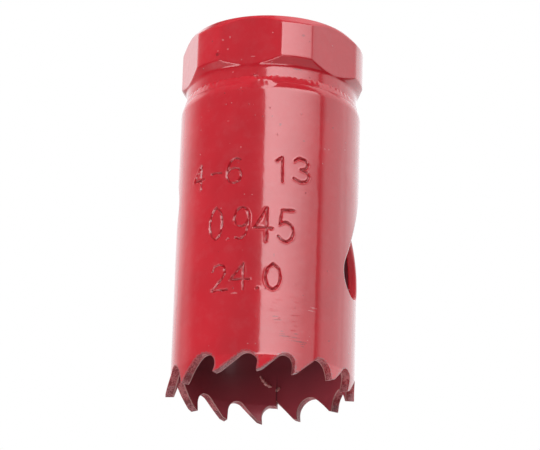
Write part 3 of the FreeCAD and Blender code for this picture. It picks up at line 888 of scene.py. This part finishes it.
def lacquerMaterial(name, bright, deep):
    # red stoving lacquer sprayed over steel: deep colour under a hard clear gloss, slight
    # orange peel, dust nibs, pinholes and fine handling scratches
    material, tree, place, cloud, mottle, grit, wave, peel, patch, gloss = newMaterial(
        name, "cloud", "mottle", "grit", "wave", "peel", "patch", "gloss")
    # colour: cloudy depth of the lacquer, and a faint milky mottle of dust that settled in it
    clouded = addNode(tree, "MapRange", {"From Min": 0.3, "From Max": 0.7}, {"Value": cloud})
    colour = mixColour(tree, clouded, deep, bright)
    milky = addNode(tree, "MapRange", {"From Min": 0.48, "From Max": 0.72, "To Max": 0.05}, {"Value": mottle})
    colour = mixColour(tree, milky, colour, finish["milky"])
    # painted shade in the stamped strokes: darker the deeper they are sunk
    strip = addNode(tree, "Attribute", {"attribute_name": "stripPlace"}).outputs["Vector"]
    sunk = addNode(tree, "SeparateXYZ", links={"Vector": strip}).outputs["Z"]
    grooveShadeShare = addNode(tree, "MapRange", {"From Min": 0.015, "From Max": 0.13, "To Max": 0.48}, {"Value": sunk})
    colour = mixColour(tree, grooveShadeShare, colour, finish["paintedGrooveShade"])
    # along the cut edges the coat is broken by specks of dusty film
    rim = addNode(tree, "Attribute", {"attribute_name": "rimDistance"}).outputs["Fac"]
    nearRim = addNode(tree, "MapRange", {"From Min": finish["rimBand"], "From Max": 0.0, "To Max": 0.42},
                      {"Value": rim})
    broken = addNode(tree, "Math", {"operation": "ADD"}, {0: grit, 1: nearRim})
    rimMask = addNode(tree, "MapRange", {"From Min": 0.66, "From Max": 0.8, "To Max": 0.85},
                      {"Value": broken})
    atRim = addNode(tree, "Math", {"operation": "LESS_THAN", 1: finish["rimBand"]}, {0: rim})
    rimShare = addNode(tree, "Math", {"operation": "MULTIPLY"}, {0: rimMask, 1: atRim})
    colour = mixColour(tree, rimShare, colour, finish["rimSpeck"])
    # dust nibs and pinholes: the middles of a few of many small cells; the pale nibs are partly a painted
    # glint
    cells = addNode(tree, "TexVoronoi", {"Scale": 1000 / finish["speck"], "Randomness": 1.0},
                    {"Vector": place})
    pick = addNode(tree, "SeparateColor", links={"Color": cells.outputs["Color"]})
    middle = addNode(tree, "MapRange", {"interpolation_type": "SMOOTHSTEP", "From Min": 0.12,
                                        "From Max": 0.04}, {"Value": cells.outputs["Distance"]})
    some = addNode(tree, "Math", {"operation": "GREATER_THAN", 1: finish["noNibs"]}, {0: pick.outputs["Red"]})
    nib = addNode(tree, "Math", {"operation": "MULTIPLY"}, {0: middle, 1: some})
    isDark = addNode(tree, "Math", {"operation": "GREATER_THAN", 1: 0.7}, {0: pick.outputs["Green"]})
    nibColour = mixColour(tree, isDark, finish["nibDustAndGlint"], finish["nibDark"])
    nibShare = addNode(tree, "Math", {"operation": "MULTIPLY", 1: finish["nibShare"]}, {0: nib})
    colour = mixColour(tree, nibShare, colour, nibColour)
    # the light marks are painted highlight specks, except two scratches and a nib
    for tone in ("dark", "light"):
        mask = markMask(tree, strip, tone, grit)
        share = addNode(tree, "Math", {"operation": "MULTIPLY", 1: finish["markShare"]}, {0: mask})
        colour = mixColour(tree, share, colour, finish[tone])

    # fine scratches round the tube: noise drawn out sideways, cut to its crests
    drawn = tuple(1000 / size for size in finish["scratch"])
    squeeze = addNode(tree, "Mapping", {"Scale": drawn}, {"Vector": place})
    streaks = addNode(tree, "TexNoise", {"Scale": 1.0, "Detail": 2.0, "Distortion": 0.4}, {"Vector": squeeze})
    line = addNode(tree, "MapRange", {"From Min": 0.62, "From Max": 0.7}, {"Value": streaks})
    # they lie in one worn place below the figures, and in a few patches on the back half
    inPatch = addNode(tree, "MapRange", {"From Min": 0.55, "From Max": 0.63}, {"Value": patch})
    depthway = addNode(tree, "SeparateXYZ", links={"Vector": place}).outputs["Y"]
    atBack = addNode(tree, "MapRange", {"From Min": 0.0, "From Max": 0.002}, {"Value": depthway})
    backPatch = addNode(tree, "Math", {"operation": "MULTIPLY"}, {0: inPatch, 1: atBack})
    reach = markReach(tree, strip, *finish["worn"])
    worn = addNode(tree, "MapRange", {"From Min": 1.0, "From Max": 0.6}, {"Value": reach})
    scratched = addNode(tree, "Math", {"operation": "MAXIMUM"}, {0: backPatch, 1: worn})
    scratch = addNode(tree, "Math", {"operation": "MULTIPLY"}, {0: line, 1: scratched})

    # relief: slow waviness, orange peel and nibs stand out, by metres, and scratches are cut in
    normal = {}
    for relief, distance, strength, isCut in ((wave, 0.00003, 1.0, False), (peel, 0.00001, 1.0, False),
                                              (nib, 0.00004, 1.0, False), (scratch, 0.00002, 0.45, True)):
        settings = {"Strength": strength, "Distance": distance, "invert": isCut}
        normal = {"Normal": addNode(tree, "Bump", settings, {"Height": relief} | normal)}
    rough = addNode(tree, "MapRange", {"To Min": 0.16, "To Max": 0.3}, {"Value": gloss})
    shader = addNode(tree, "BsdfPrincipled", {"IOR": 1.5, "Metallic": 0.0, "Coat Weight": 1.0,
                                              "Coat Roughness": 0.06, "Coat IOR": 1.6},
                     {"Base Color": colour, "Roughness": rough, "Coat Normal": normal["Normal"]} | normal)
    addNode(tree, "OutputMaterial", links={"Surface": shader})
    return material


def sawnEdgeMaterial(name, dark, pale, line):
    # milled edges with a starved coat of lacquer: it draws back from the arrises and beads on the cutter
    # marks, so steel shows greyish through a speckled red film, palest at the inner arris, where the pale
    # line is bare steel and partly a painted highlight
    material, tree, place, grit, blot = newMaterial(name, "edgeGrit", "blot")
    strip = addNode(tree, "Attribute", {"attribute_name": "stripPlace"}).outputs["Vector"]
    share = addNode(tree, "SeparateXYZ", links={"Vector": strip}).outputs["Z"]
    total = addNode(tree, "Math", {"operation": "MULTIPLY_ADD", 1: 0.6}, {0: blot, 2: grit})
    speckle = addNode(tree, "MapRange", {"From Min": 0.74, "From Max": 0.9}, {"Value": total})
    mottled = mixColour(tree, speckle, dark, pale)
    # a pale line along the inner arris: bare steel, and partly a painted highlight
    arris = addNode(tree, "MapRange", {"interpolation_type": "SMOOTHSTEP", "From Min": 0.8,
                                       "From Max": 0.96, "To Max": 0.9}, {"Value": share})
    paled = mixColour(tree, arris, mottled, line)
    # the full coat still wraps round the outer arris, to an uneven line
    wrapped = addNode(tree, "Math", {"operation": "MULTIPLY_ADD", 1: 0.5}, {0: grit, 2: share})
    wrap = addNode(tree, "MapRange", {"From Min": 0.2, "From Max": 0.34}, {"Value": wrapped})
    colour = mixColour(tree, wrap, finish["lacquerDeep"], paled)
    bump = addNode(tree, "Bump", {"Strength": 0.8, "Distance": 0.00003}, {"Height": grit})
    shader = addNode(tree, "BsdfPrincipled", {"IOR": 1.5, "Metallic": 0.0, "Roughness": 0.5,
                                              "Coat Weight": 0.2, "Coat Roughness": 0.15, "Coat IOR": 1.5},
                     {"Base Color": colour, "Normal": bump, "Coat Normal": bump})
    addNode(tree, "OutputMaterial", links={"Surface": shader})
    return material


def oversprayMaterial(name, dark, pale):
    # inside of the cup: lacquer mist that dried before it could flow, so duller and greyer; its darkness is
    # partly painted shade in the cup
    material, tree, place, cloud, mist = newMaterial(name, "mistCloud", "mist")
    # painted light: paler and redder towards the mouth and a little more so on the right, as if lit from
    # there. Share of pale = level + right x + up height + uneven cloud, with both places in mm
    slope = (1000 * finish["paintedLightRight"], 0, 1000 * finish["paintedLightUp"])
    sloping = addNode(tree, "VectorMath", {"operation": "DOT_PRODUCT", 1: slope}, {0: place})
    clouded = addNode(tree, "Math", {"operation": "MULTIPLY_ADD", 1: finish["mistUneven"]},
                      {0: cloud, 2: sloping.outputs["Value"]})
    level = {"operation": "ADD", "use_clamp": True, 1: finish["paintedLightLevel"]}
    paintedLitShare = addNode(tree, "Math", level, {0: clouded})
    colour = mixColour(tree, paintedLitShare, dark, pale)
    # the butt seam of the rolled strip: a thin dark line where it meets
    turn = seamPlace / radius
    across, towards = (1000 * math.cos(turn), 1000 * math.sin(turn), 0), (math.sin(turn), -math.cos(turn), 0)
    aside = addNode(tree, "VectorMath", {"operation": "DOT_PRODUCT", 1: across}, {0: place})
    facing = addNode(tree, "VectorMath", {"operation": "DOT_PRODUCT", 1: towards}, {0: place})
    off = addNode(tree, "Math", {"operation": "ABSOLUTE"}, {0: aside.outputs["Value"]})
    near = addNode(tree, "MapRange", {"From Min": 0.14, "From Max": 0.03, "To Max": 0.75}, {"Value": off})
    onSide = addNode(tree, "Math", {"operation": "GREATER_THAN", 1: 0.0}, {0: facing.outputs["Value"]})
    lift = addNode(tree, "SeparateXYZ", links={"Vector": place}).outputs["Z"]
    low = addNode(tree, "MapRange", {"From Min": 0.0062, "From Max": 0.0038}, {"Value": lift})
    seamSide = addNode(tree, "Math", {"operation": "MULTIPLY"}, {0: near, 1: onSide})
    seamMask = addNode(tree, "Math", {"operation": "MULTIPLY"}, {0: seamSide, 1: low})
    colour = mixColour(tree, seamMask, colour, finish["seam"])
    bump = addNode(tree, "Bump", {"Strength": 0.5, "Distance": 0.00002}, {"Height": mist})
    shader = addNode(tree, "BsdfPrincipled", {"IOR": 1.5, "Metallic": 0.0, "Roughness": 0.45,
                                              "Coat Weight": 0.5, "Coat Roughness": 0.14, "Coat IOR": 1.5},
                     {"Base Color": colour, "Normal": bump, "Coat Normal": bump})
    addNode(tree, "OutputMaterial", links={"Surface": shader})
    return material


bandLacquer = lacquerMaterial("red_stoving_lacquer_on_rolled_steel", finish["lacquer"], finish["lacquerDeep"])
capLacquer = lacquerMaterial("red_stoving_lacquer_on_turned_steel", finish["capLacquer"], finish["capDeep"])
overspray = oversprayMaterial("lacquer_overspray_in_the_cup_painted_light_and_shade", *finish["overspray"])
# the runs are coloured pale as a painted highlight, with the cup's painted light over it
paleRunsPaintedHighlight = oversprayMaterial("lacquer_runs_dried_in_the_cup_painted_highlight", *finish["paleRunsPaintedHighlight"])
sawnEdge = sawnEdgeMaterial("starved_lacquer_on_milled_edges", *finish["edge"])
tipEdge = sawnEdgeMaterial("starved_lacquer_on_ground_high_speed_steel", *finish["tipEdge"])

for piece, node, slotName, materials in (
        (sawBand, "saw_band", "red_lacquer", (bandLacquer, overspray, sawnEdge)),
        (hardTips, "hard_steel_tips", "tip_steel", (bandLacquer, overspray, tipEdge)),
        (backingCap, "backing_cap", "red_lacquer", (capLacquer,)),
        (weldBead, "weld_bead", "red_lacquer", (capLacquer,))):
    for material in materials:
        piece.data.materials.append(material)
    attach(piece, "root")
    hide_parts(node)
lacquerRuns.data.materials.append(paleRunsPaintedHighlight)
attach(lacquerRuns, "root")
print("materials set")


# Floor and light
studio = {
    "floorSize": 3000.0, "floorDrop": 0.05, "floorColour": "#E6E4E2",
    "tint": (0.985, 0.98, 1.0, 1.0), "ambient": 0.05,
    "tilt": 0.036, "tiltFrom": 24.0,  # each box dims sooner, by tilt a degree below tiltFrom
    "lean": 0.6, "leanFrom": 17.0,  # the key's left side goes out, by lean a degree above leanFrom
    # softboxes by direction in degrees. What they do: "matt" only lights the lacquer's colour,
    # "gloss" only shows as a reflection, and "both" does both. Then azimuth from and to,
    # elevation from and to, softness upwards and sideways, brightness at the left and the
    # right, and the power by which it falls from left to right
    "softboxes": {
        "key shine": ("gloss", -4.5, 65.5, 6, 38, 2.5, 1.2, 3.45, 1.0, 2),
        "key light": ("matt", -4.5, 65.5, 6, 38, 2.5, 1.2, 2.5, 0.7, 2),
        "side": ("both", 72, 112, 2, 84, 3, 5, 0.95, 0.95, 1),
        "back left": ("both", -199, -108, -35, 40, 6, 10, 0.95, 0.3, 5),
        "back right": ("both", 112, 199, -35, 42, 6, 8, 1.05, 1.05, 1),
        "over right": ("gloss", 125, 199, 42, 74, 6, 8, 0.5, 0.5, 1),
        "strip": ("gloss", -70, 20, -33, -20, 3, 5, 3.0, 3.0, 1),
        "table": ("matt", -199, 199, -99, -44, 5, 5, 0.34, 0.34, 1),
        "table shine": ("gloss", -199, 199, -99, -30, 5, 5, 0.42, 0.42, 1),
        "table left": ("matt", -150, -25, -75, -36, 6, 15, 1.35, 1.35, 1),
        "fill": ("matt", -130, -6, 0, 58, 6, 6, 1.4, 1.4, 1),
        "ceiling": ("matt", -199, 199, 58, 99, 8, 6, 2.0, 2.0, 1),
        "back wall": ("matt", -330, -100, 24, 58, 8, 6, 1.2, 1.2, 1),
    },
}


def makeWorld():
    # brightness by direction, as the sum of the softboxes; the camera sees plain white
    world = bpy.data.worlds.new("studio")
    bpy.context.scene.world = world
    world.use_nodes = True
    tree = world.node_tree
    tree.nodes.clear()
    direction = addNode(tree, "TexCoord").outputs["Generated"]
    axes = addNode(tree, "SeparateXYZ", links={"Vector": direction}).outputs
    towards = addNode(tree, "Math", {"operation": "MULTIPLY", 1: -1.0}, {0: axes["Y"]})
    turn = addNode(tree, "Math", {"operation": "ARCTAN2"}, {0: axes["X"], 1: towards})
    azimuth = addNode(tree, "Math", {"operation": "DEGREES"}, {0: turn})
    lift = addNode(tree, "Math", {"operation": "ARCSINE"}, {0: axes["Z"]})
    elevation = addNode(tree, "Math", {"operation": "DEGREES"}, {0: lift})

    def window(value, low, high, soft, riseBy=None):
        # 1 between low and high, with soft edges; riseBy is another measure for the low edge
        edges = ((low - soft, low + soft, riseBy or value), (high + soft, high - soft, value))
        rise, fall = [addNode(tree, "MapRange", {"interpolation_type": "SMOOTHSTEP", "From Min": a,
                                                 "From Max": b}, {"Value": by}) for a, b, by in edges]
        return addNode(tree, "Math", {"operation": "MULTIPLY"}, {0: rise, 1: fall})

    rays = addNode(tree, "LightPath").outputs
    kinds = {"gloss": rays["Is Glossy Ray"],
             "matt": addNode(tree, "Math", {"operation": "SUBTRACT", 0: 1.0}, {1: rays["Is Glossy Ray"]})}
    total = addNode(tree, "Value")
    total.outputs[0].default_value = studio["ambient"]
    below = addNode(tree, "Math", {"operation": "SUBTRACT", 0: studio["tiltFrom"]}, {1: elevation})
    tilt = addNode(tree, "Math", {"operation": "MULTIPLY", 1: studio["tilt"]}, {0: below})
    raised = addNode(tree, "Math", {"operation": "SUBTRACT", 1: studio["leanFrom"]}, {0: elevation})
    leant = addNode(tree, "Math", {"operation": "MULTIPLY_ADD", 1: studio["lean"]}, {0: raised, 2: azimuth})
    for name, box in studio["softboxes"].items():
        kind, left, right, low, high, soft, side, leftLevel, rightLevel, fall = box
        sideways = window(azimuth, left, right, side, leant if name.startswith("key") else None)
        upward = window(elevation, low, high, soft)
        across = addNode(tree, "MapRange", {"From Min": left, "From Max": right}, {"Value": azimuth})
        leaning = addNode(tree, "Math", {"operation": "ADD", "use_clamp": True}, {0: across, 1: tilt})
        bent = addNode(tree, "Math", {"operation": "POWER", 1: fall}, {0: leaning})
        lit = addNode(tree, "MapRange", {"To Min": leftLevel, "To Max": rightLevel}, {"Value": bent})
        for factor in [sideways, upward] + ([kinds[kind]] if kind in kinds else []):
            lit = addNode(tree, "Math", {"operation": "MULTIPLY"}, {0: lit, 1: factor})
        total = addNode(tree, "Math", {"operation": "ADD"}, {0: total, 1: lit})
    light = addNode(tree, "Background", {"Color": studio["tint"]}, {"Strength": total})
    plain = addNode(tree, "Background", {"Color": (1.0, 1.0, 1.0, 1.0), "Strength": 1.0})
    mixed = addNode(tree, "MixShader", links={0: rays["Is Camera Ray"], 1: light, 2: plain})
    addNode(tree, "OutputWorld", links={"Surface": mixed})


def makeFloor():
    # matt white board: a camera above it sees it with the object's shadow, and it is clear to
    # all else, as the photo's light reaches the cup's mouth from below
    line = np.linspace(-studio["floorSize"] / 2, studio["floorSize"] / 2, 3)
    u, v = np.meshgrid(line, line)
    floor = makeMesh("floor", [{"points": np.stack([u, v, 0 * u - studio["floorDrop"]], axis=-1)}])
    material, tree, place, grain = newMaterial("matt_white_board", "grain")
    bump = addNode(tree, "Bump", {"Strength": 0.1, "Distance": 0.00002}, {"Height": grain})
    board = addNode(tree, "BsdfPrincipled", {"Base Color": linearColour(studio["floorColour"]),
                                             "Roughness": 0.7, "Specular IOR Level": 0.2}, {"Normal": bump})
    clear = addNode(tree, "BsdfTransparent")
    behind = addNode(tree, "NewGeometry").outputs["Backfacing"]
    seen = addNode(tree, "LightPath").outputs["Is Camera Ray"]
    solid = addNode(tree, "Math", {"operation": "SUBTRACT", "use_clamp": True}, {0: seen, 1: behind})
    mixed = addNode(tree, "MixShader", links={0: solid, 1: clear, 2: board})
    addNode(tree, "OutputMaterial", links={"Surface": mixed})
    floor.data.materials.append(material)


# Camera below the level of the tooth tips, looking up, with a long lens and a slight roll; its
# places are metres and its roll is radians
view = {
    "place": (0, -0.3631, -0.10903), "target": (0.000314, 0, 0.022675), "roll": 0.032,
    "lens": 204.5, "sensor": 36.0, "clipStart": 0.01,
}


def makeCamera():
    data = bpy.data.cameras.new("camera")
    data.sensor_width, data.lens, data.clip_start = view["sensor"], view["lens"], view["clipStart"]
    place, roll = Vector(view["place"]), view["roll"]
    ahead = (Vector(view["target"]) - place).normalized()
    right = ahead.cross(Vector((0, 0, 1))).normalized()
    above = right.cross(ahead)
    across = math.cos(roll) * right + math.sin(roll) * above
    upward = -math.sin(roll) * right + math.cos(roll) * above
    turned = Matrix((across, upward, -ahead)).transposed().to_4x4()
    camera = bpy.data.objects.new("camera", data)
    camera.matrix_world = Matrix.Translation(place) @ turned
    bpy.context.scene.collection.objects.link(camera)
    bpy.context.scene.camera = camera


makeWorld()
makeFloor()
makeCamera()
bpy.context.scene.view_settings.view_transform = "Standard"
print("stage set")
